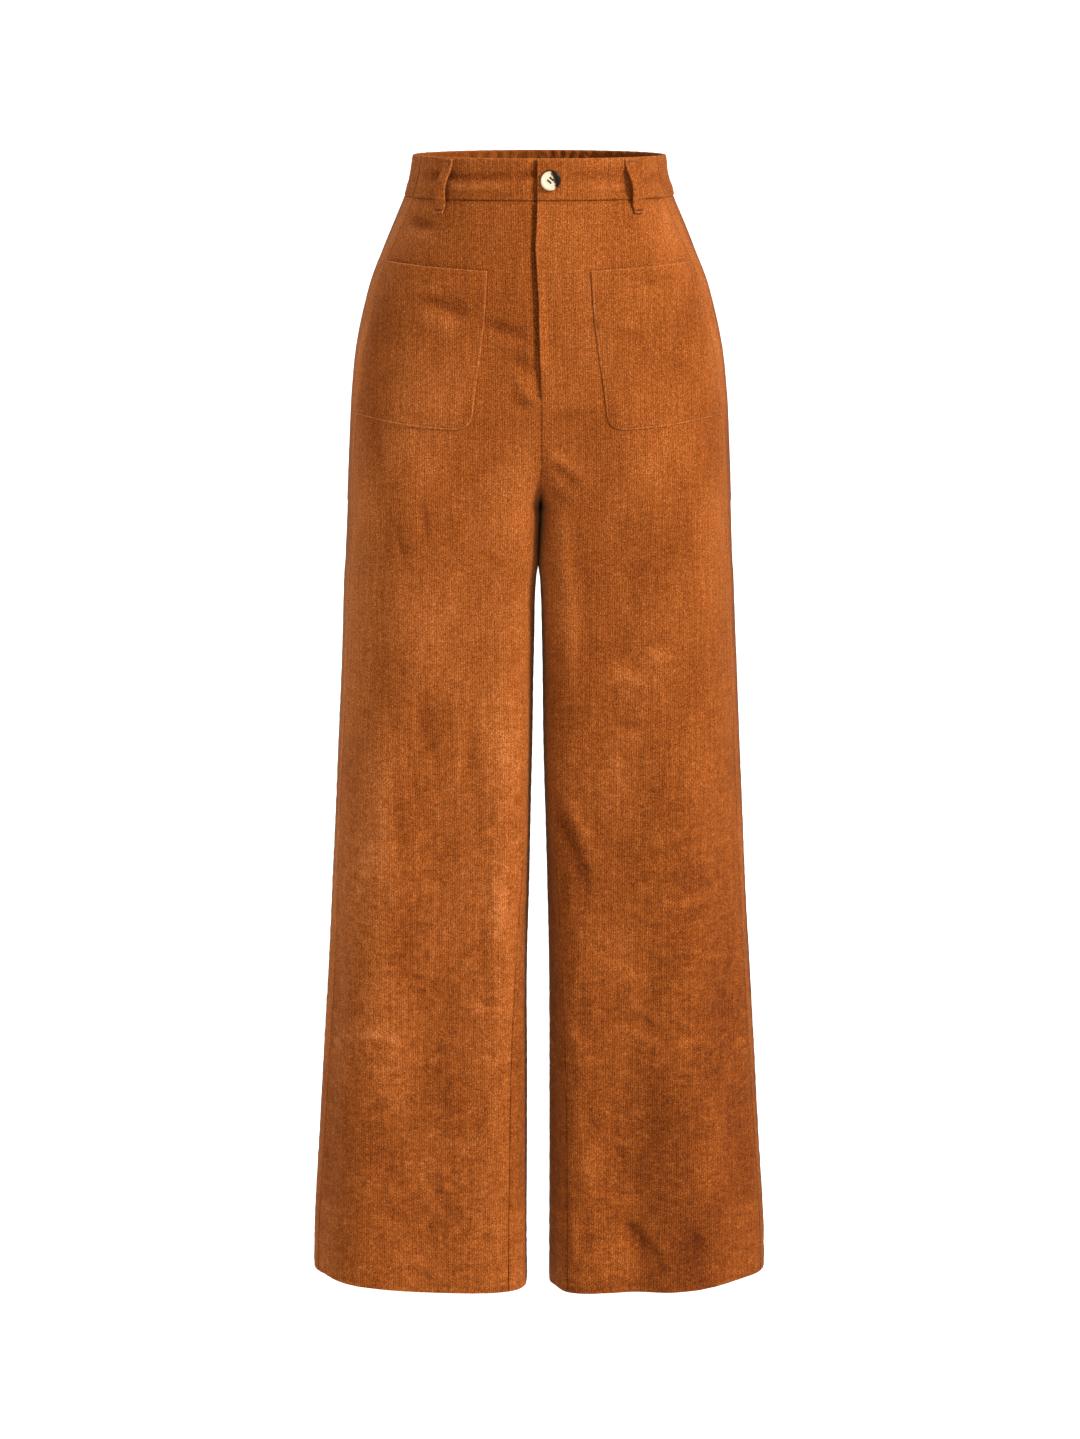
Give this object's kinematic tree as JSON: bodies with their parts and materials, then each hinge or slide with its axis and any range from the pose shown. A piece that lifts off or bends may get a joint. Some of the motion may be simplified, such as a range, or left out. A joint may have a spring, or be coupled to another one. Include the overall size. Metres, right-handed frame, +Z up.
{
  "type": "high-waisted wide-leg corduroy trousers",
  "caption": "Hollow high-waisted wide-leg corduroy trousers as worn, with elastic-back waistband, belt loops, buttoned fly and front patch pockets.",
  "frame": {"origin": "middle of the waistband, on the trousers' upright centre line, where the wearer holds them up", "axes": "+Z up, the front faces -Y, the wearer's left is +X"},
  "size_m": [0.4214, 0.2396, 1.0401],
  "materials": {
    "corduroy": "fine-wale corduroy, soft nap",
    "zip_tape": "woven cotton tape",
    "zip_metal": "satin",
    "button": "mottled horn, polished"
  },
  "bodies": {
    "root": {"front_left": "corduroy", "back_left": "corduroy", "waistband_front_left": "corduroy", "pocket_left": "corduroy", "belt_loop_front_left": "corduroy", "belt_loop_back_left": "corduroy", "front_right": "corduroy", "back_right": "corduroy", "waistband_front_right": "corduroy", "pocket_right": "corduroy", "belt_loop_front_right": "corduroy", "belt_loop_back_right": "corduroy", "waistband_back": "corduroy", "fly_shield": "corduroy", "zip_tape": "zip_tape", "zip_slider": "zip_metal", "button": "button"}
  },
  "joints": []
}
